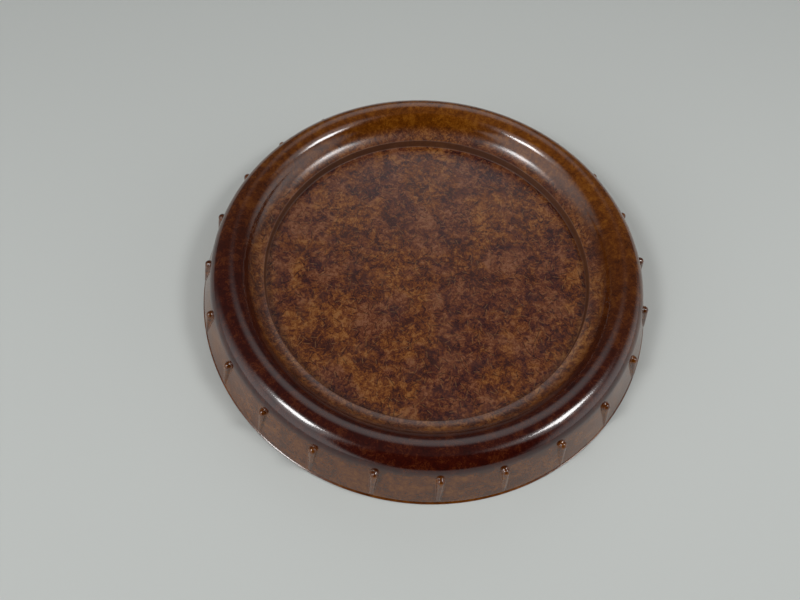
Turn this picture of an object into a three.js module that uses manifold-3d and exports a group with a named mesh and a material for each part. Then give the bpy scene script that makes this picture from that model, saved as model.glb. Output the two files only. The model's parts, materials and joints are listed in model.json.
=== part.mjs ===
// Low round dish moulded in mottled brown phenolic resin: a rolled rim that runs through a
// cove to a ledge with a step down to the sunk flat floor, and a flared skirt with a ring of
// moulded drop-shaped studs. The hollow underside is closed by a pressed board with a disc
// of baize glued under it.
//
// Units are millimetres, +Z is up. The origin is the centre of the baize's underside, which
// is the plane that the dish stands on.

import * as THREE from 'three';
import { mergeVertices } from 'three/addons/utils/BufferGeometryUtils.js';
import Module from 'manifold-3d';

const wasm = await Module();
wasm.setup();

// ---------- driving dimensions ----------

const BASE_RADIUS = 75;          // outer edge of the skirt
const SKIRT_LIFT = 0.4;          // skirt edge above the table, because the baize is proud
const SKIRT_FLARE = 20;          // degrees from vertical
const RIM_RADIUS = 6.3;          // round of the rolled rim, in section
const RIM_CENTRE_RADIUS = 64;    // middle of the rolled rim, seen from above
const RIM_TOP = 18.5;            // crest of the rim above the table
const FLOOR_TOP = 8.2;           // sunk floor above the table
const COVE_RADIUS = 8;           // hollow from the rim's inner side to the ledge's edge
const STEP_RADIUS = 53.6;        // edge of the ledge around the floor
const STEP_HEIGHT = 3.1;         // ledge's edge above the floor
const WALL_THICKNESS = 2.8;      // moulded wall, everywhere

const LIP_HEIGHT = 0.35;         // thin lip around the skirt's lower edge
const LIP_GROOVE_DEPTH = 0.3;    // the skirt is set back this far above the lip
const LIP_GROOVE_HEIGHT = 1.0;

const STUD_COUNT = 24;
const STUD_BALL_RADIUS = 1.3;
const STUD_CIRCLE_RADIUS = 71;   // centres of the stud heads
const STUD_HEAD_HEIGHT = 12.1;   // centres of the stud heads above the table
const STUD_TAIL_HEIGHT = 2.4;    // where the tails run out in the skirt
const STUD_TIP_RADIUS = 0.5;     // round end of a tail
const STUD_TIP_SINK = 0.15;      // centre of the tail's end, inside the skirt's face

const REBATE_DEPTH = 1.1;        // step inside the skirt that seats the board
const BOARD_THICKNESS = 1.8;
const BAIZE_THICKNESS = 0.6;
const BAIZE_MARGIN = 0.8;        // the baize is cut this much smaller than the board
const BOARD_CHAMFER = 0.3;
const BAIZE_CHAMFER = 0.1;
const GAP = 0.3;                 // clearance between pieces that touch

const ROUND_SEGMENTS = 72;       // facets around the dish
const FINE_STEP = 12;            // degrees between the points of a visible round, in section
const COARSE_STEP = 25;          // the same for small and hidden rounds
const TIP_STEP = 45;             // the same for the ends of the studs' tails
const STUD_SEGMENTS = 10;
const MERGE_DISTANCE = 1e-5;     // points of a solid closer than this are one point

// ---------- places worked out from them ----------

const radians = THREE.MathUtils.degToRad;
const degrees = THREE.MathUtils.radToDeg;
const flareSlope = Math.tan(radians(SKIRT_FLARE));
const rimCentreHeight = RIM_TOP - RIM_RADIUS;
const ledgeEdgeHeight = FLOOR_TOP + STEP_HEIGHT;
const boardBottom = BAIZE_THICKNESS + GAP;
const boardTop = boardBottom + BOARD_THICKNESS;
const rebateTop = boardTop + GAP;
const skirtInset = WALL_THICKNESS / Math.cos(radians(SKIRT_FLARE));
const rebateRadius = BASE_RADIUS - skirtInset;
const boardRadius = rebateRadius - GAP;

// Points of an arc in the section, from one angle to the other, in degrees.
function arc(centreRadius, centreHeight, radius, from, to, step) {
  const steps = Math.round(Math.abs(to - from) / step);
  const points = [];
  for (let i = 0; i <= steps; i += 1) {
    const angle = radians(from + ((to - from) * i) / steps);
    points.push(new THREE.Vector2(
      centreRadius + radius * Math.cos(angle),
      centreHeight + radius * Math.sin(angle),
    ));
  }
  return points;
}

// ---------- solids ----------

function toSolid(geometry) {
  geometry.deleteAttribute('normal');
  geometry.deleteAttribute('uv');
  const merged = mergeVertices(geometry, MERGE_DISTANCE);
  const index = merged.index.array;
  const corners = [];
  for (let i = 0; i < index.length; i += 3) {
    const [a, b, c] = [index[i], index[i + 1], index[i + 2]];
    if (a !== b && b !== c && c !== a) {
      corners.push(a, b, c);
    }
  }
  return new wasm.Manifold(new wasm.Mesh({
    numProp: 3,
    vertProperties: new Float32Array(merged.attributes.position.array),
    triVerts: new Uint32Array(corners),
  }));
}

function toGeometry(solid) {
  const mesh = solid.getMesh();
  const geometry = new THREE.BufferGeometry();
  geometry.setAttribute('position', new THREE.BufferAttribute(mesh.vertProperties, 3));
  geometry.setIndex(new THREE.BufferAttribute(mesh.triVerts, 1));
  geometry.computeVertexNormals();
  return geometry;
}

// A section turned about +Z. The section runs outwards along the underside and back inwards
// over the top, so that the faces point out.
function turned(section, segments) {
  const geometry = new THREE.LatheGeometry(section, segments);
  geometry.rotateX(Math.PI / 2);
  return toSolid(geometry);
}

// ---------- dish moulding ----------

// Outer face of the skirt at a height: it is tangent to the rim.
function skirtRadius(height) {
  const tangentRadius = RIM_CENTRE_RADIUS + RIM_RADIUS * Math.cos(radians(SKIRT_FLARE));
  const tangentHeight = rimCentreHeight + RIM_RADIUS * Math.sin(radians(SKIRT_FLARE));
  return tangentRadius + (tangentHeight - height) * flareSlope;
}

// Middle of the cove, which touches the rim from the side of the axis and ends at the
// ledge's edge.
function coveCentre() {
  const run = STEP_RADIUS - RIM_CENTRE_RADIUS;
  const rise = ledgeEdgeHeight - rimCentreHeight;
  const span = Math.hypot(run, rise);
  const toRim = RIM_RADIUS + COVE_RADIUS;
  const along = (span ** 2 + toRim ** 2 - COVE_RADIUS ** 2) / (2 * span);
  const across = Math.sqrt(toRim ** 2 - along ** 2);
  return new THREE.Vector2(
    RIM_CENTRE_RADIUS + (along * run + across * rise) / span,
    rimCentreHeight + (along * rise - across * run) / span,
  );
}

// Direction from the middle of the rim to the middle of the cove, in degrees.
function rimToCove() {
  const cove = coveCentre();
  return degrees(Math.atan2(cove.y - rimCentreHeight, cove.x - RIM_CENTRE_RADIUS));
}

// Underside of the moulding, from the axis out to the foot of the rebate.
function undersideSection() {
  const cove = coveCentre();
  const underFloor = FLOOR_TOP - WALL_THICKNESS;
  const underStepRadius = STEP_RADIUS + WALL_THICKNESS;
  const underCove = COVE_RADIUS + WALL_THICKNESS;
  const fromStep = -degrees(Math.acos((underStepRadius - cove.x) / underCove));
  const hollowRadius = RIM_RADIUS - WALL_THICKNESS;
  const skirtTop = rimCentreHeight + hollowRadius * Math.sin(radians(SKIRT_FLARE));
  const skirtTopRadius = RIM_CENTRE_RADIUS + hollowRadius * Math.cos(radians(SKIRT_FLARE));
  const ledgeRadius = skirtTopRadius + (skirtTop - rebateTop) * flareSlope - REBATE_DEPTH;
  return [
    new THREE.Vector2(0, underFloor),
    new THREE.Vector2(underStepRadius, underFloor),
    ...arc(cove.x, cove.y, underCove, fromStep, rimToCove() - 180, FINE_STEP),
    ...arc(
      RIM_CENTRE_RADIUS,
      rimCentreHeight,
      hollowRadius,
      rimToCove(),
      SKIRT_FLARE,
      COARSE_STEP,
    ).slice(1),
    new THREE.Vector2(ledgeRadius, rebateTop),
    new THREE.Vector2(rebateRadius, rebateTop),
    new THREE.Vector2(rebateRadius, SKIRT_LIFT),
  ];
}

// Visible side of the moulding, from the skirt's lower edge over the rim to the axis.
function visibleSection() {
  const lipTop = SKIRT_LIFT + LIP_HEIGHT;
  const grooveTop = lipTop + LIP_GROOVE_HEIGHT;
  const grooveRadius = skirtRadius((lipTop + grooveTop) / 2) - LIP_GROOVE_DEPTH;
  const cove = coveCentre();
  const toEdge = degrees(Math.atan2(ledgeEdgeHeight - cove.y, STEP_RADIUS - cove.x));
  return [
    new THREE.Vector2(BASE_RADIUS, SKIRT_LIFT),
    new THREE.Vector2(BASE_RADIUS, lipTop),
    new THREE.Vector2(grooveRadius, lipTop + LIP_GROOVE_DEPTH),
    new THREE.Vector2(grooveRadius, grooveTop),
    ...arc(RIM_CENTRE_RADIUS, rimCentreHeight, RIM_RADIUS, SKIRT_FLARE, 90, FINE_STEP),
    ...arc(RIM_CENTRE_RADIUS, rimCentreHeight, RIM_RADIUS, 90, rimToCove(), FINE_STEP).slice(1),
    ...arc(cove.x, cove.y, COVE_RADIUS, rimToCove() - 180, toEdge, FINE_STEP).slice(1),
    new THREE.Vector2(STEP_RADIUS, FLOOR_TOP),
    new THREE.Vector2(0, FLOOR_TOP),
  ];
}

// A drop: a ball that tapers to a smaller one, hanging down from the origin.
function dropGeometry(ballRadius, tipRadius, length) {
  const coneAngle = degrees(Math.asin((ballRadius - tipRadius) / length));
  const section = [
    new THREE.Vector2(0, -length - tipRadius),
    ...arc(0, -length, tipRadius, -90, -coneAngle, TIP_STEP).slice(1),
    ...arc(0, 0, ballRadius, -coneAngle, 90, COARSE_STEP).slice(0, -1),
    new THREE.Vector2(0, ballRadius),
  ];
  const geometry = new THREE.LatheGeometry(section, STUD_SEGMENTS);
  geometry.rotateX(Math.PI / 2);
  return geometry;
}

// The studs are moulded in one with the skirt: each leans with it, and runs out in it.
function stud(azimuth) {
  const tailRadius = skirtRadius(STUD_TAIL_HEIGHT) - STUD_TIP_SINK;
  const rise = STUD_HEAD_HEIGHT - STUD_TAIL_HEIGHT;
  const run = tailRadius - STUD_CIRCLE_RADIUS;
  const geometry = dropGeometry(STUD_BALL_RADIUS, STUD_TIP_RADIUS, Math.hypot(rise, run));
  geometry.rotateY(-Math.atan2(run, rise));
  geometry.translate(STUD_CIRCLE_RADIUS, 0, STUD_HEAD_HEIGHT);
  geometry.rotateZ(azimuth);
  return toSolid(geometry);
}

function dishMoulding() {
  let solid = turned([...undersideSection(), ...visibleSection()], ROUND_SEGMENTS);
  for (let i = 0; i < STUD_COUNT; i += 1) {
    solid = solid.add(stud((2 * Math.PI * i) / STUD_COUNT));
  }
  return toGeometry(solid);
}

// ---------- pieces that close the underside ----------

function disc(radius, bottom, thickness, chamfer) {
  return toGeometry(turned([
    new THREE.Vector2(0, bottom),
    new THREE.Vector2(radius - chamfer, bottom),
    new THREE.Vector2(radius, bottom + chamfer),
    new THREE.Vector2(radius, bottom + thickness),
    new THREE.Vector2(0, bottom + thickness),
  ], ROUND_SEGMENTS));
}

// ---------- assembly ----------

function piece(name, geometry, look) {
  const mesh = new THREE.Mesh(geometry, new THREE.MeshStandardMaterial(look));
  mesh.name = name;
  return mesh;
}

const dish = new THREE.Group();
dish.add(piece('dish_moulding', dishMoulding(), {
  color: 0x5a3524,
  roughness: 0.3,
  metalness: 0,
}));
dish.add(piece('base_board', disc(boardRadius, boardBottom, BOARD_THICKNESS, BOARD_CHAMFER), {
  color: 0x6b5237,
  roughness: 0.85,
  metalness: 0,
}));
dish.add(piece(
  'baize_disc',
  disc(boardRadius - BAIZE_MARGIN, 0, BAIZE_THICKNESS, BAIZE_CHAMFER),
  { color: 0x2f4a35, roughness: 0.95, metalness: 0 },
));

export default dish;
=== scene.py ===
"""Looks of a low round brush dish, moulded in mottled brown phenolic resin.

Lengths are in millimetres until a mesh or the camera is placed, where MM turns them to metres.
The floor, the lamps and the bumps are in metres. The frame is the CAD's: +Z up, the origin in
the middle of the baize's underside.
"""

import json
import math
from types import SimpleNamespace

import bpy
import numpy as np
from mathutils import Matrix, Vector


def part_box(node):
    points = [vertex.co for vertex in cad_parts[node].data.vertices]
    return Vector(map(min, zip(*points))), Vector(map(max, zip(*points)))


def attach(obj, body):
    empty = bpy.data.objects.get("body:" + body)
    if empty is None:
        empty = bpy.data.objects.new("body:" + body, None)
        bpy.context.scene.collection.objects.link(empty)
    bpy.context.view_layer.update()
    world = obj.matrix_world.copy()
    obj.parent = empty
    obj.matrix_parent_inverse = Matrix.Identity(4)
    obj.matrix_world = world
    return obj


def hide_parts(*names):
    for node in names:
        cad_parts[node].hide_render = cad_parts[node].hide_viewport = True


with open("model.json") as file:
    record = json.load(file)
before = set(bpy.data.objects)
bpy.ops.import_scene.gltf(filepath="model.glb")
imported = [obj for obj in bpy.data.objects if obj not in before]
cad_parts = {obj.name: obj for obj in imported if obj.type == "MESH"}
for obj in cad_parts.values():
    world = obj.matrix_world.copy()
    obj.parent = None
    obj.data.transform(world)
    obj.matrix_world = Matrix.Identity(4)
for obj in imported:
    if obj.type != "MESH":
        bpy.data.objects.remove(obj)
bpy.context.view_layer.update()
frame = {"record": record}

MM = 0.001

# ---------- sizes taken from the frame ----------

dish_low, dish_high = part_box("dish_moulding")
board_low, board_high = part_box("base_board")
baize_low, baize_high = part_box("baize_disc")
mount_heights = {m["name"]: m["pos_m"][2] for m in frame["record"]["mounts"]}

BASE_RADIUS = dish_high.x / MM
SKIRT_LIFT = dish_low.z / MM
RIM_TOP = dish_high.z / MM
FLOOR_TOP = mount_heights["recess_floor"] / MM

# ---------- sizes of the section, as in the CAD ----------

SKIRT_FLARE = 20            # degrees from vertical
RIM_RADIUS = 6.3            # round of the rolled rim
RIM_CENTRE_RADIUS = 64
COVE_RADIUS = 8             # hollow from the rim's inner side down to the ledge's edge
STEP_RADIUS = 53.6          # edge of the ledge around the floor
STEP_HEIGHT = 3.1           # ledge's edge above the floor
WALL_THICKNESS = 2.8
REBATE_DEPTH = 1.1          # step inside the skirt that seats the board
GAP = 0.3                   # clearance over the board
LIP_HEIGHT = 0.35           # thin lip around the skirt's lower edge
GROOVE_DEPTH = 0.3          # the skirt is set back this far above the lip
GROOVE_TOP = 1.75           # where the groove over the lip runs out in the skirt

STUD_COUNT = 24
STUD_BALL_RADIUS = 1.3
STUD_CIRCLE_RADIUS = 71
STUD_HEAD_HEIGHT = 12.1
STUD_TAIL_HEIGHT = 2.4
STUD_TIP_RADIUS = 0.5
STUD_TIP_SINK = 0.15        # centre of the tail's end, inside the skirt's face

# ---------- roundings that the CAD leaves out ----------

EDGE_ROUND = 0.2            # edge of the ledge
FLOOR_FILLET = 0.3          # foot of the step
LIP_ROUND = 0.12            # the lip's edges, above and below
HIDDEN_CORNER = 1           # between the undersides of the floor and the step
STUD_FILLET = 0.4           # soft join between a stud and the skirt

# ---------- worked out from them ----------

flare_slope = math.tan(math.radians(SKIRT_FLARE))
rim_centre = (RIM_CENTRE_RADIUS, RIM_TOP - RIM_RADIUS)
ledge_top = FLOOR_TOP + STEP_HEIGHT
ledge_edge = (STEP_RADIUS, ledge_top)
step_face = STEP_RADIUS - EDGE_ROUND
rebate_top = board_high.z / MM + GAP
rebate_radius = BASE_RADIUS - WALL_THICKNESS / math.cos(math.radians(SKIRT_FLARE))


def arc(centre, radius, start, end, step):
    """Points of an arc in the section, from one angle to the other, in degrees."""
    count = max(1, round(abs(end - start) / step))
    angles = np.radians(np.linspace(start, end, count + 1))
    return [(centre[0] + radius * math.cos(a), centre[1] + radius * math.sin(a)) for a in angles]


def line(start, end, step):
    """Points of a straight stretch of the section."""
    count = max(1, round(math.dist(start, end) / step))
    shares = np.linspace(0, 1, count + 1)
    return [tuple(np.array(start) * (1 - t) + np.array(end) * t) for t in shares]


def touching(first, first_radius, second, second_radius, radius):
    """Centre of a circle that touches two others from outside, on the side of the axis."""
    gap = math.dist(first, second)
    to_first = first_radius + radius
    to_second = second_radius + radius
    along = (gap**2 + to_first**2 - to_second**2) / (2 * gap)
    across = math.sqrt(to_first**2 - along**2)
    x, z = (second[0] - first[0]) / gap, (second[1] - first[1]) / gap
    return (first[0] + along * x + across * z, first[1] + along * z - across * x)


def angle_to(start, end):
    """Direction from one point of the section to another, from 0 to 360 degrees."""
    return math.degrees(math.atan2(end[1] - start[1], end[0] - start[0])) % 360


def point_on_rim(angle):
    return arc(rim_centre, RIM_RADIUS, angle, angle, 1)[0]


def skirt_point(height):
    """The point of the skirt's outer face at a height: the face is tangent to the rim."""
    top = point_on_rim(SKIRT_FLARE)
    return (top[0] + (top[1] - height) * flare_slope, height)


cove_centre = touching(rim_centre, RIM_RADIUS, ledge_edge, 0, COVE_RADIUS)
rim_to_cove = angle_to(rim_centre, cove_centre)


# ---------- turned surfaces ----------

class TurnedMesh:
    """Rings of points about +Z, joined one to the next. The section runs outwards along the
    underside and back inwards over the top, so that the faces point out."""

    def __init__(self):
        self.points = []
        self.faces = []

    def ring(self, points):
        start = len(self.points)
        self.points.extend(points)
        return list(range(start, len(self.points)))

    def turned_ring(self, radius, height, azimuths):
        return self.ring([
            (radius * math.cos(a), radius * math.sin(a), height) for a in azimuths
        ])

    def join(self, ring, following):
        for j, k in zip(range(len(ring)), [*range(1, len(ring)), 0]):
            self.faces.append((ring[j], ring[k], following[k], following[j]))

    def fan_from_axis(self, height, following):
        centre = self.ring([(0, 0, height)])[0]
        for j, k in zip(range(len(following)), [*range(1, len(following)), 0]):
            self.faces.append((centre, following[k], following[j]))

    def fan_to_axis(self, ring, height):
        centre = self.ring([(0, 0, height)])[0]
        for j, k in zip(range(len(ring)), [*range(1, len(ring)), 0]):
            self.faces.append((ring[j], ring[k], centre))

    def stitch(self, coarse, fine, picks, fine_is_next):
        """Joins a coarse ring to a fine one. The coarse columns are the fine ones at picks."""
        stops = [*picks[1:], len(fine)]
        for j, (first, last) in enumerate(zip(picks, stops)):
            k = (j + 1) % len(coarse)
            between = [fine[i % len(fine)] for i in range(first, last + 1)]
            if fine_is_next:
                self.faces.append((coarse[j], coarse[k], *reversed(between)))
            else:
                self.faces.append((*between, coarse[k], coarse[j]))

    def turned_rows(self, section, azimuths, ring=None):
        """Adds one ring for each point of a section, joined to the ring before it."""
        for radius, height in section:
            following = self.turned_ring(radius, height, azimuths)
            if ring:
                self.join(ring, following)
            ring = following
        return ring

    def object(self, name, sharp_angle=50):
        mesh = bpy.data.meshes.new(name)
        mesh.from_pydata([(x * MM, y * MM, z * MM) for x, y, z in self.points], [], self.faces)
        mesh.shade_smooth()
        mesh.set_sharp_from_angle(angle=math.radians(sharp_angle))
        piece = bpy.data.objects.new(name, mesh)
        bpy.context.scene.collection.objects.link(piece)
        return piece


# ---------- columns around the dish ----------

STUD_ZONE = 1.75            # degrees each side of a stud that get close columns
FINE_COLUMN = 0.12          # degrees
PLAIN_COLUMNS = 8           # columns between two studs' zones

stud_pitch = 360 / STUD_COUNT
zone_steps = round(STUD_ZONE / FINE_COLUMN)
near_stud = np.linspace(-STUD_ZONE, STUD_ZONE, 2 * zone_steps + 1)
between_studs = np.linspace(STUD_ZONE, stud_pitch - STUD_ZONE, PLAIN_COLUMNS + 1)[1:-1]
sector = np.radians(np.concatenate([near_stud, between_studs]))
sector_picks = [0, zone_steps, *range(2 * zone_steps, len(sector))]

stud_azimuths = [math.radians(stud_pitch * i) for i in range(STUD_COUNT)]
fine_azimuths = np.concatenate([a + sector for a in stud_azimuths])
coarse_picks = [i * len(sector) + p for i in range(STUD_COUNT) for p in sector_picks]
coarse_azimuths = fine_azimuths[coarse_picks]


# ---------- studs ----------

TRACE_START = 2.5           # ball radii outside the skirt, where the search for a stud starts
TRACE_STEPS = 90


def round_cone_distance(points, head, tip, head_radius, tip_radius):
    """Distance from points to a ball that tapers to a smaller one."""
    axis = tip - head
    length2 = axis @ axis
    drop = head_radius - tip_radius
    spread = length2 - drop * drop
    from_head = points - head
    along = from_head @ axis
    beyond = along - length2
    across = np.sum((from_head * length2 - along[:, None] * axis) ** 2, axis=1)
    along2 = along**2 * length2
    beyond2 = beyond**2 * length2
    turn = np.sign(drop) * drop * drop * across
    side = (np.sqrt(across * spread / length2) + along * drop) / length2 - head_radius
    past_tip = np.sign(beyond) * spread * beyond2 > turn
    past_head = np.sign(along) * spread * along2 < turn
    distance = np.where(past_head, np.sqrt(across + along2) / length2 - head_radius, side)
    return np.where(past_tip, np.sqrt(across + beyond2) / length2 - tip_radius, distance)


def soft_minimum(a, b, softness):
    blend = np.clip(0.5 + 0.5 * (b - a) / softness, 0, 1)
    return b * (1 - blend) + a * blend - softness * blend * (1 - blend)


def stud_rise(points, normals):
    """How far the skirt stands out at points, along normals, for the stud at azimuth 0. Each
    point starts outside the stud and steps inwards until it meets the stud or the skirt."""
    head = np.array([STUD_CIRCLE_RADIUS, 0, STUD_HEAD_HEIGHT])
    tip = np.array([skirt_point(STUD_TAIL_HEIGHT)[0] - STUD_TIP_SINK, 0, STUD_TAIL_HEIGHT])
    rise = np.full(len(points), TRACE_START * STUD_BALL_RADIUS)
    for _ in range(TRACE_STEPS):
        there = points + rise[:, None] * normals
        drop = round_cone_distance(there, head, tip, STUD_BALL_RADIUS, STUD_TIP_RADIUS)
        rise -= soft_minimum(rise, drop, STUD_FILLET)
    return np.maximum(rise, 0)


# ---------- dish moulding ----------

STUD_ROWS_END = 34          # degrees up the rim where the close rows end
TAIL_ROW = 0.3              # between rows along the studs' tails
HEAD_ROW = 0.14             # between rows at the studs' heads
ROLL_ROW = 1.6              # degrees between rows where the skirt turns into the rim
UNDERSIDE_FAN = 10          # radius of the ring that closes on the axis, under the floor
FLOOR_FAN = 6               # the same, on the floor
SMALL_CORNER = 0.1          # cut off the corners of the skirt's lower edge and the groove
LIP_ROW = 1                 # from the lip's edge in to the next row under it


def skirt_rows():
    """Rows of the skirt's face and their normals' angles: close together at the stud heads."""
    tangent = point_on_rim(SKIRT_FLARE)
    neck = skirt_point(STUD_HEAD_HEIGHT - 2 * STUD_BALL_RADIUS)
    tail = line(skirt_point(GROOVE_TOP), neck, TAIL_ROW)
    head = line(neck, tangent, HEAD_ROW)[1:]
    roll = arc(rim_centre, RIM_RADIUS, SKIRT_FLARE, STUD_ROWS_END, ROLL_ROW)[1:]
    angles = np.linspace(SKIRT_FLARE, STUD_ROWS_END, len(roll) + 1)[1:]
    return [*tail, *head, *roll], [*[SKIRT_FLARE] * len(tail + head), *angles]


def underside_section():
    """From near the axis out to the skirt's lower edge, along the hidden side."""
    under_floor = FLOOR_TOP - WALL_THICKNESS
    under_step = STEP_RADIUS + WALL_THICKNESS
    under_cove = COVE_RADIUS + WALL_THICKNESS
    corner = (under_step - HIDDEN_CORNER, under_floor + HIDDEN_CORNER)
    from_step = -math.degrees(math.acos((under_step - cove_centre[0]) / under_cove))
    roll = arc(rim_centre, RIM_RADIUS - WALL_THICKNESS, rim_to_cove, SKIRT_FLARE, step=12)
    inner_edge = roll[-1][0] + (roll[-1][1] - rebate_top) * flare_slope - REBATE_DEPTH
    return [
        *line((UNDERSIDE_FAN, under_floor), (corner[0], under_floor), step=12),
        *arc(corner, HIDDEN_CORNER, -90, 0, step=20)[1:],
        *arc(cove_centre, under_cove, from_step, rim_to_cove - 180, step=8),
        *roll[1:],
        *line(roll[-1], (inner_edge, rebate_top), step=3)[1:],
        *line((inner_edge, rebate_top), (rebate_radius, rebate_top), step=0.6)[1:],
        (rebate_radius, SKIRT_LIFT + SMALL_CORNER),
    ]


def lip_section():
    """The rounded lower edge, the thin lip and the groove over it."""
    lip_top = SKIRT_LIFT + LIP_HEIGHT
    lip_middle = BASE_RADIUS - LIP_ROUND
    groove_height = (lip_top + GROOVE_TOP) / 2
    groove_radius = skirt_point(groove_height)[0] - GROOVE_DEPTH
    return [
        (rebate_radius + SMALL_CORNER, SKIRT_LIFT),
        (BASE_RADIUS - LIP_ROW, SKIRT_LIFT),
        *arc((lip_middle, SKIRT_LIFT + LIP_ROUND), LIP_ROUND, -90, 0, step=30),
        *arc((lip_middle, lip_top - LIP_ROUND), LIP_ROUND, 0, 90, step=30),
        (groove_radius + SMALL_CORNER, lip_top + 0.8 * SMALL_CORNER),
        (groove_radius, lip_top + 2 * SMALL_CORNER),
        (groove_radius, groove_height),
        (groove_radius + SMALL_CORNER, groove_height + 2.5 * SMALL_CORNER),
    ]


def dish_section():
    """From the rim, above the studs, over it, down the cove and the step to the floor."""
    over = arc(rim_centre, RIM_RADIUS, STUD_ROWS_END + 4, rim_to_cove, step=4)
    cove_end = angle_to(cove_centre, ledge_edge) - 360
    cove = arc(cove_centre, COVE_RADIUS, rim_to_cove - 180, cove_end, step=2.5)
    edge = arc((STEP_RADIUS, ledge_top - EDGE_ROUND), EDGE_ROUND, 90, 180, step=30)
    foot_radius = step_face - FLOOR_FILLET
    foot = arc((foot_radius, FLOOR_TOP + FLOOR_FILLET), FLOOR_FILLET, 0, -90, step=22)
    inwards = line(foot[-1], (FLOOR_FAN, FLOOR_TOP), step=6)
    return [*over, *cove[1:], *edge[1:], *foot, *inwards[1:]]


def sector_row(radius, height, angle):
    """One row over a sector of the skirt: radii and heights, with the stud raised on it."""
    lean = math.radians(angle)
    sector_x, sector_y = np.cos(sector), np.sin(sector)
    ones = np.ones(len(sector))
    points = np.stack([radius * sector_x, radius * sector_y, height * ones], axis=1)
    normals = np.stack([
        math.cos(lean) * sector_x,
        math.cos(lean) * sector_y,
        math.sin(lean) * ones,
    ], axis=1)
    rise = stud_rise(points, normals)
    return radius + rise * math.cos(lean), height + rise * math.sin(lean)


def studded_rows(mesh, ring):
    """Adds the skirt's rows, from the coarse ring of the groove up to the rim."""
    previous = None
    rows, angles = skirt_rows()
    for (radius, height), angle in zip(rows, angles):
        radii, heights = (np.tile(part, STUD_COUNT) for part in sector_row(radius, height, angle))
        x, y = radii * np.cos(fine_azimuths), radii * np.sin(fine_azimuths)
        following = mesh.ring(list(zip(x, y, heights)))
        if previous:
            mesh.join(previous, following)
        else:
            mesh.stitch(ring, following, coarse_picks, fine_is_next=True)
        previous = following
    return previous


def dish_moulding():
    mesh = TurnedMesh()
    underside = underside_section()
    ring = mesh.turned_rows([*underside, *lip_section()], coarse_azimuths)
    mesh.fan_from_axis(underside[0][1], list(range(len(coarse_azimuths))))
    last_fine = studded_rows(mesh, ring)
    section = dish_section()
    ring = mesh.turned_ring(*section[0], coarse_azimuths)
    mesh.stitch(ring, last_fine, coarse_picks, fine_is_next=False)
    ring = mesh.turned_rows(section[1:], coarse_azimuths, ring)
    mesh.fan_to_axis(ring, FLOOR_TOP)
    return mesh.object("dish_body")


# ---------- board and baize ----------

def disc_section(low, high, edge_round, spacing):
    """A disc's section, from near the axis under it to near the axis on top."""
    bottom, top = low.z / MM, high.z / MM
    corner = high.x / MM - edge_round
    return [
        *line((spacing, bottom), (corner, bottom), spacing),
        *arc((corner, bottom + edge_round), edge_round, -90, 0, step=18)[1:],
        *arc((corner, top - edge_round), edge_round, 0, 90, step=18),
        *line((corner, top), (spacing, top), spacing)[1:],
    ]


def turned_disc(name, section, columns):
    mesh = TurnedMesh()
    azimuths = np.linspace(0, 2 * math.pi, columns, endpoint=False)
    ring = mesh.turned_rows(section, azimuths)
    mesh.fan_from_axis(section[0][1], list(range(columns)))
    mesh.fan_to_axis(ring, section[-1][1])
    return mesh.object(name)


def base_board():
    section = disc_section(board_low, board_high, edge_round=0.35, spacing=8)
    return turned_disc("board", section, columns=180)


def baize_disc():
    section = disc_section(baize_low, baize_high, edge_round=0.2, spacing=4)
    return turned_disc("baize", section, columns=240)


# ---------- node helpers ----------

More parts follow.
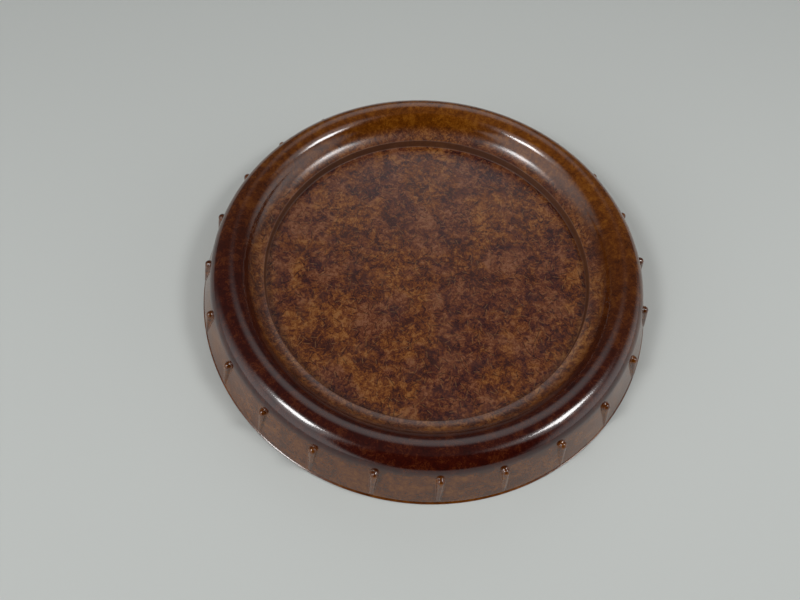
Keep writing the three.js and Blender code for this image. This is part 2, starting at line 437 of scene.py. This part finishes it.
class Graph:
    """Short calls for adding nodes to one node tree."""

    def __init__(self, tree):
        self.tree = tree
        tree.nodes.clear()

    def node(self, kind, inputs=None, **settings):
        node = self.tree.nodes.new(kind)
        for key, value in settings.items():
            setattr(node, key, value)
        for key, value in (inputs or {}).items():
            self.feed(node.inputs[key], value)
        return node

    def feed(self, socket, value):
        if isinstance(value, bpy.types.NodeSocket):
            self.tree.links.new(value, socket)
        else:
            socket.default_value = value

    def math(self, operation, a, b=0.0):
        return self.node("ShaderNodeMath", {0: a, 1: b}, operation=operation).outputs[0]

    def product(self, first, *others):
        """All the values multiplied."""
        for other in others:
            first = self.math("MULTIPLY", first, other)
        return first

    def axes(self, vector):
        """A vector's three parts."""
        return self.node("ShaderNodeSeparateXYZ", {0: vector}).outputs

    def vector_math(self, operation, a, b=(0, 0, 0)):
        node = self.node("ShaderNodeVectorMath", {0: a, 1: b}, operation=operation)
        return node.outputs["Value" if operation in ("LENGTH", "DOT_PRODUCT") else "Vector"]

    def ease(self, value, low, high, to_low=0.0, to_high=1.0):
        """Runs smoothly from to_low, where value is low, to to_high, where it is high."""
        inputs = {"Value": value, 1: low, 2: high, 3: to_low, 4: to_high}
        node = self.node("ShaderNodeMapRange", inputs, interpolation_type="SMOOTHSTEP")
        return node.outputs[0]

    def bump_around(self, value, centre, half_width):
        """1 where value is centre, falling to 0 at half_width from it."""
        away = self.math("ABSOLUTE", self.math("SUBTRACT", value, centre))
        return self.ease(away, 0.0, half_width, 1.0, 0.0)

    def mix(self, share, a, b, kind="MIX"):
        """A colour from a, where share is 0, to b, where it is 1."""
        node = self.node(
            "ShaderNodeMix", {0: share, 6: a, 7: b}, data_type="RGBA", blend_type=kind
        )
        return node.outputs[2]

    def blend(self, share, a, b):
        """A number from a, where share is 0, to b, where it is 1."""
        return self.node("ShaderNodeMix", {0: share, 2: a, 3: b}).outputs[0]

    def bump(self, height, strength, distance):
        inputs = {"Strength": strength, "Distance": distance, "Height": height}
        return self.node("ShaderNodeBump", inputs).outputs[0]

    def ramp(self, value, stops):
        node = self.node("ShaderNodeValToRGB", {0: value})
        elements = node.color_ramp.elements
        while len(elements) < len(stops):
            elements.new(0.5)
        for element, (place, colour) in zip(elements, stops):
            element.position = place
            element.color = colour
        return node.outputs[0]

    def noise(self, vector, size, detail=2.0, roughness=0.5, distortion=0.0):
        """Noise from 0 to 1 with features of about size, in the vector's units."""
        inputs = {
            "Vector": vector,
            "Scale": 1 / size,
            "Detail": detail,
            "Roughness": roughness,
            "Distortion": distortion,
        }
        return self.node("ShaderNodeTexNoise", inputs).outputs[0]

    def object_millimetres(self):
        place = self.node("ShaderNodeTexCoord").outputs["Object"]
        return self.vector_math("MULTIPLY", place, (1 / MM,) * 3)


def srgb(red, green, blue):
    """A colour given from 0 to 255, as linear RGBA."""
    def linear(value):
        value /= 255
        return value / 12.92 if value <= 0.04045 else ((value + 0.055) / 1.055) ** 2.4
    return (linear(red), linear(green), linear(blue), 1.0)


def new_material(name):
    material = bpy.data.materials.new(name)
    material.use_nodes = True
    return material, Graph(material.node_tree)


def finish_material(graph, inputs):
    shader = graph.node("ShaderNodeBsdfPrincipled", inputs)
    graph.node("ShaderNodeOutputMaterial", {"Surface": shader.outputs[0]})


# ---------- phenolic resin ----------

WEAR_FULL_RADIUS = 55.5     # inside this the recess is worn all over
WEAR_END_RADIUS = 58.5      # and past this it isn't worn
DUST_AND_SHEEN_END_RADIUS = 59.5      # dust and painted grey sheen lie only inside this
GLOSS_SOFTNESS = 0.3        # width of the change of gloss at the foot of the step
TOP_SIDE_DEPTH = 0.4        # in the recess, what is lower than its floor by this is hidden
DUST_AND_SHEEN_START_SOFTNESS = 0.1   # it starts this gradually, at the ledge's edge
DUST_AND_SHEEN_FULL_HEIGHT = ledge_top + 0.6      # it is even up to here
DUST_AND_SHEEN_END_HEIGHT = ledge_top + 3.6       # and there is none past here
RISER_HALF_WIDTH = 0.45     # reach of the brown line on the step's face, in radius
RISER_TOP = (ledge_top - 0.02, ledge_top + 0.06)    # that line fades between these heights

RED_END = -40               # in front of this the rim is dark red
AMBER_START = 72            # and behind this it is amber
AMBER_TURN = 0.35           # share of x that counts as backwards: the right is amber sooner
SKIRT_REFLECTION_SHARE = 0.8           # how amber the skirt is all round: a painted reflection of the pale floor
SKIRT_REFLECTION_TOP = 12.6      # up to this height
SKIRT_REFLECTION_END = 15.0      # and past this height it is as the rim

FLOOR_BROWNS = [
    (0.43, (0.042, 0.010, 0.006, 1)),
    (0.465, (0.080, 0.020, 0.008, 1)),
    (0.50, (0.125, 0.034, 0.009, 1)),
    (0.535, (0.190, 0.060, 0.012, 1)),
    (0.58, (0.270, 0.110, 0.032, 1)),
]
RIM_AMBERS = [
    (0.40, (0.065, 0.016, 0.001, 1)),
    (0.50, (0.135, 0.036, 0.002, 1)),
    (0.60, (0.225, 0.076, 0.006, 1)),
]
RIM_REDS = [
    (0.40, (0.020, 0.003, 0.002, 1)),
    (0.50, (0.034, 0.0035, 0.0015, 1)),
    (0.60, (0.075, 0.016, 0.004, 1)),
]
PURPLE_TINT = (0.70, 0.66, 1.4, 1)
LIGHT_MARK = (0.26, 0.13, 0.05, 1)
DARK_MARK = (0.018, 0.006, 0.004, 1)
# Pale grey-brown of real dust, which also serves as a painted grey sheen of reflected light on
# the ledge and cove.
DUST_AND_SHEEN = (0.17, 0.12, 0.075, 1)
RISER = (0.080, 0.022, 0.003, 1)

# How far each of those covers what is under it.
PURPLE_SHARE = 0.7
LIGHT_MARK_SHARE = 0.45
DARK_MARK_SHARE = 0.65
DUST_AND_SHEEN_SHARE = 0.16
RISER_SHARE = 0.85

FLOOR_ROUGHNESS = (0.20, 0.30)
RIM_ROUGHNESS = (0.09, 0.16)
LEDGE_ROUGHNESS = 0.24
RISER_ROUGHNESS = 0.6


def resin_places(graph):
    """Where a point is on the dish. Each mask is 1 on its own part of the section."""
    point = graph.object_millimetres()
    height = graph.axes(point)[2]
    radius = graph.vector_math("LENGTH", graph.vector_math("MULTIPLY", point, (1, 1, 0)))
    above = graph.math("GREATER_THAN", height, FLOOR_TOP - TOP_SIDE_DEPTH)

    inside = graph.ease(radius, step_face - GLOSS_SOFTNESS, step_face, 1.0, 0.0)
    worn = graph.ease(radius, WEAR_FULL_RADIUS, WEAR_END_RADIUS, 1.0, 0.0)

    low = graph.ease(height, DUST_AND_SHEEN_FULL_HEIGHT, DUST_AND_SHEEN_END_HEIGHT, 1.0, 0.0)
    past_step = graph.ease(
        radius, step_face - DUST_AND_SHEEN_START_SOFTNESS, step_face + DUST_AND_SHEEN_START_SOFTNESS
    )
    recess = graph.product(graph.math("LESS_THAN", radius, DUST_AND_SHEEN_END_RADIUS), above)

    near_face = graph.bump_around(radius, step_face, RISER_HALF_WIDTH)
    under_ledge = graph.ease(height, *RISER_TOP, 1.0, 0.0)
    return SimpleNamespace(
        point=point,
        floor=graph.product(inside, above),
        worn=graph.product(worn, above),
        ledge=graph.product(low, past_step, recess),
        riser=graph.product(near_face, above, under_ledge),
    )


def resin_mottle(graph, point):
    """Wood flour in the resin: 0 in its dark clumps, 1 in its light ones."""
    clouds = graph.noise(point, size=6.0, detail=5.0, roughness=0.65, distortion=0.6)
    flakes = graph.noise(point, size=1.6, detail=4.0, roughness=0.7, distortion=0.9)
    grain = graph.noise(point, size=0.35, detail=2.0, roughness=0.6)
    mottle = graph.math("ADD", graph.product(clouds, 0.4), graph.product(flakes, 0.4))
    return graph.math("ADD", mottle, graph.product(grain, 0.2)), flakes


def worn_colour(graph, point, mottle):
    """Brown with purple patches, as on the floor."""
    brown = graph.ramp(mottle, FLOOR_BROWNS)
    purple = graph.mix(1.0, brown, PURPLE_TINT, "MULTIPLY")
    patches = graph.noise(point, size=13.0, detail=3.0, roughness=0.6)
    patches = graph.ease(patches, 0.44, 0.58)
    return graph.mix(graph.product(patches, PURPLE_SHARE), brown, purple)


def rim_colour(graph, point, mottle):
    """Amber behind and on the skirt, dark red in front. On the skirt the amber is a painted
    reflection of the pale floor.
    """
    x, y, height = graph.axes(point)
    across = graph.math("ADD", y, graph.product(x, AMBER_TURN))
    behind = graph.ease(across, RED_END, AMBER_START)
    # The skirt's amber is painted reflection: it lightens the skirt the way the pale floor's
    # reflection does.
    skirt_reflection = graph.ease(height, SKIRT_REFLECTION_TOP, SKIRT_REFLECTION_END, SKIRT_REFLECTION_SHARE, 0.0)
    amber_and_skirt_reflection = graph.math("MAXIMUM", behind, skirt_reflection)
    return graph.mix(amber_and_skirt_reflection, graph.ramp(mottle, RIM_REDS), graph.ramp(mottle, RIM_AMBERS))


def fibres(graph, point, spacing, length, width, share, shift):
    """Short straight marks in random directions, one to a cell. 1 on a mark."""
    flat = graph.vector_math("MULTIPLY", graph.vector_math("ADD", point, shift), (1, 1, 0))
    cells = graph.node(
        "ShaderNodeTexVoronoi",
        {"Vector": flat, "Scale": 1 / spacing},
        voronoi_dimensions="2D",
    )
    turn, chance, _ = graph.node("ShaderNodeSeparateColor", {0: cells.outputs["Color"]}).outputs
    turned = graph.node("ShaderNodeVectorRotate", {
        "Vector": graph.vector_math("SUBTRACT", flat, cells.outputs["Position"]),
        "Angle": graph.product(turn, 2 * math.pi),
    }, rotation_type="Z_AXIS")
    along, across, _ = graph.axes(turned.outputs[0])
    thin = graph.ease(graph.math("ABSOLUTE", across), width / 2, width, 1.0, 0.0)
    short = graph.ease(graph.math("ABSOLUTE", along), length * 0.3, length / 2, 1.0, 0.0)
    return graph.product(thin, short, graph.math("LESS_THAN", chance, share))


def with_fibres(graph, colour, places):
    """Light and dark fibres that show in the worn resin."""
    light = fibres(
        graph, places.point, spacing=2.1, length=2.6, width=0.16, share=0.4, shift=(0, 0, 0)
    )
    dark = fibres(
        graph, places.point, spacing=2.4, length=3.4, width=0.2, share=0.4, shift=(31, 17, 0)
    )
    colour = graph.mix(graph.product(light, places.worn, LIGHT_MARK_SHARE), colour, LIGHT_MARK)
    return graph.mix(graph.product(dark, places.worn, DARK_MARK_SHARE), colour, DARK_MARK)


def with_dust_and_sheen(graph, colour, places):
    """A little pale dust, lying unevenly on the ledge, mixed with a painted grey sheen of
    reflected light.
    """
    grit = graph.noise(places.point, size=0.7, detail=3.0, roughness=0.7)
    grit = graph.ease(grit, 0.35, 0.7, 0.3, 1.0)
    return graph.mix(graph.product(places.ledge, grit, DUST_AND_SHEEN_SHARE), colour, DUST_AND_SHEEN)


def resin_roughness(graph, places, flakes):
    wear = graph.noise(places.point, size=9.0, detail=3.0, roughness=0.6)
    floor_roughness = graph.ease(wear, 0.3, 0.7, *FLOOR_ROUGHNESS)
    rim_roughness = graph.ease(flakes, 0.3, 0.7, *RIM_ROUGHNESS)
    roughness = graph.blend(places.floor, rim_roughness, floor_roughness)
    roughness = graph.blend(places.ledge, roughness, LEDGE_ROUGHNESS)
    return graph.blend(places.riser, roughness, RISER_ROUGHNESS)


def phenolic():
    material, graph = new_material("mottled_phenolic")
    places = resin_places(graph)
    mottle, flakes = resin_mottle(graph, places.point)
    rim = rim_colour(graph, places.point, mottle)
    colour = graph.mix(places.worn, rim, worn_colour(graph, places.point, mottle))
    colour = with_fibres(graph, colour, places)
    colour = with_dust_and_sheen(graph, colour, places)
    finish_material(graph, {
        "Base Color": graph.mix(graph.product(places.riser, RISER_SHARE), colour, RISER),
        "Roughness": resin_roughness(graph, places, flakes),
        "Normal": graph.bump(flakes, strength=0.3, distance=0.00004),
        "IOR": 1.6,
    })
    return material


# ---------- fibreboard and baize ----------

FIBREBOARD_BROWNS = [
    (0.3, srgb(74, 54, 36)),
    (0.55, srgb(112, 84, 58)),
    (0.75, srgb(140, 110, 80)),
]
BAIZE_GREENS = [
    (0.3, srgb(22, 44, 30)),
    (0.55, srgb(42, 76, 52)),
    (0.8, srgb(66, 104, 74)),
]
BAIZE_THREAD = 0.7          # from one thread to the next


def fibreboard():
    material, graph = new_material("pressed_fibreboard")
    point = graph.object_millimetres()
    flattened = graph.vector_math("MULTIPLY", point, (1, 1, 4))
    fibre = graph.noise(flattened, size=0.9, detail=4.0, roughness=0.65, distortion=1.2)
    tone = graph.noise(point, size=9.0, detail=2.0)
    colour = graph.ramp(fibre, FIBREBOARD_BROWNS)
    finish_material(graph, {
        "Base Color": graph.mix(graph.product(tone, 0.3), colour, srgb(84, 60, 42)),
        "Roughness": 0.85,
        "Normal": graph.bump(fibre, strength=0.4, distance=0.0001),
    })
    return material


def baize():
    material, graph = new_material("green_baize")
    point = graph.object_millimetres()
    x, y, _ = graph.axes(point)
    warp = graph.math("SINE", graph.product(x, 2 * math.pi / BAIZE_THREAD))
    weft = graph.math("SINE", graph.product(y, 2 * math.pi / BAIZE_THREAD))
    nap = graph.noise(point, size=0.5, detail=4.0, roughness=0.7, distortion=0.8)
    height = graph.math("ADD", graph.product(warp, weft, 0.15), nap)
    worn = graph.noise(point, size=14.0, detail=3.0, roughness=0.6)
    worn = graph.ease(worn, 0.5, 0.75, 0.0, 0.35)
    finish_material(graph, {
        "Base Color": graph.mix(worn, graph.ramp(height, BAIZE_GREENS), srgb(86, 104, 80)),
        "Roughness": 0.95,
        "Normal": graph.bump(height, strength=0.6, distance=0.00012),
        "Sheen Weight": 0.3,
        "Sheen Roughness": 0.5,
    })
    return material


# ---------- pieces ----------

def dress(piece, material, node):
    piece.data.materials.append(material)
    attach(piece, "root")
    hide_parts(node)
    return piece


dress(dish_moulding(), phenolic(), "dish_moulding")
board = dress(base_board(), fibreboard(), "base_board")
cloth = dress(baize_disc(), baize(), "baize_disc")


# ---------- floor, light and camera ----------

# Azimuths are degrees about +Z from +X, elevations degrees above the floor. The room and the
# camera are turned about the dish by this, which sets where its studs stand in the view.
VIEW_AZIMUTH_SHIFT = -5.57

FLOOR_HALF_WIDTH = 4.0      # metres
FLOOR_COLOUR = (0.60, 0.625, 0.605, 1)

ROOM_BRIGHTNESS = 0.07      # away from the glows and the dark side
# Soft glows in the room: azimuth, elevation, degrees to the edge and brightness.
ROOM_GLOWS = [
    (216, 8, 55, 1.2),      # low on the left
    (88, 36, 25, 0.85),     # behind the dish
    (214, 52, 21, 1.3),     # around the left lamp
    (352, 5, 42, 1.1),      # low on the right
    (350, 56, 21, 1.2),     # around the right lamp
]
DARK_SIDE = (282, 35, 45)   # azimuth, elevation and degrees to the edge of what is dark
DARK_SHARE = 0.03           # brightness left there

# The camera's place and target are in millimetres, before that turn. Its roll is in degrees.
CAMERA_PLACE = (-8.17, -111.75, 191.44)
CAMERA_TARGET = (-8.17, -15.19, 12.97)
CAMERA_ROLL = 4.36
CAMERA_LENS = 28.83
SENSOR_WIDTH = 36
NEAR_CLIP = 0.01            # metres


def direction(azimuth, elevation):
    """From the dish towards a place in the room."""
    turn = math.radians(azimuth + VIEW_AZIMUTH_SHIFT)
    rise = math.radians(elevation)
    level = math.cos(rise)
    return Vector((math.cos(turn) * level, math.sin(turn) * level, math.sin(rise)))


def pale_floor():
    half = FLOOR_HALF_WIDTH
    mesh = bpy.data.meshes.new("floor")
    corners = [(-half, -half, 0), (half, -half, 0), (half, half, 0), (-half, half, 0)]
    mesh.from_pydata(corners, [], [(0, 1, 2, 3)])
    plane = bpy.data.objects.new("floor", mesh)
    bpy.context.scene.collection.objects.link(plane)
    material, graph = new_material("pale_floor")
    finish_material(graph, {"Base Color": FLOOR_COLOUR, "Roughness": 0.8})
    mesh.materials.append(material)


def studio_world():
    """A dim room, brighter to the left and right and dark behind the camera."""
    world = bpy.data.worlds.new("studio")
    bpy.context.scene.world = world
    world.use_nodes = True
    graph = Graph(world.node_tree)
    ray = graph.node("ShaderNodeTexCoord").outputs["Generated"]

    def lobe(azimuth, elevation, spread, brightness):
        facing = graph.vector_math("DOT_PRODUCT", ray, direction(azimuth, elevation))
        return graph.ease(facing, math.cos(math.radians(spread)), 1.0, 0.0, brightness)

    light = ROOM_BRIGHTNESS
    for glow in ROOM_GLOWS:
        light = graph.math("ADD", light, lobe(*glow))
    dimming = graph.ease(lobe(*DARK_SIDE, 1.0), 0.02, 0.35, 1.0, DARK_SHARE)
    background = graph.node("ShaderNodeBackground", {
        "Color": (1, 1, 1, 1),
        "Strength": graph.product(light, dimming),
    })
    graph.node("ShaderNodeOutputWorld", {"Surface": background.outputs[0]})


def window_light(name, azimuth, elevation, distance, size, radiance):
    """A soft square light, turned to the dish, of a given brightness."""
    data = bpy.data.lights.new(name, "AREA")
    data.shape = "SQUARE"
    data.size = size
    data.energy = radiance * math.pi * size * size
    lamp = bpy.data.objects.new(name, data)
    towards = direction(azimuth, elevation)
    lamp.location = towards * distance
    lamp.rotation_euler = towards.to_track_quat("Z", "Y").to_euler()
    bpy.context.scene.collection.objects.link(lamp)


def camera():
    turn = Matrix.Rotation(math.radians(VIEW_AZIMUTH_SHIFT), 3, "Z")
    place = turn @ Vector(CAMERA_PLACE) * MM
    target = turn @ Vector(CAMERA_TARGET) * MM
    roll = math.radians(CAMERA_ROLL)
    data = bpy.data.cameras.new("camera")
    data.sensor_width = SENSOR_WIDTH
    data.lens = CAMERA_LENS
    data.clip_start = NEAR_CLIP
    eye = bpy.data.objects.new("camera", data)
    look = (target - place).to_track_quat("-Z", "Y").to_matrix() @ Matrix.Rotation(roll, 3, "Z")
    eye.matrix_world = Matrix.Translation(place) @ look.to_4x4()
    bpy.context.scene.collection.objects.link(eye)
    bpy.context.scene.camera = eye


pale_floor()
studio_world()
window_light(
    "lamp_left", azimuth=214.9, elevation=50.9, distance=0.574, size=0.12, radiance=20
)
window_light(
    "lamp_right", azimuth=347.6, elevation=54.4, distance=0.518, size=0.11, radiance=19
)
camera()
bpy.context.scene.view_settings.view_transform = "Standard"
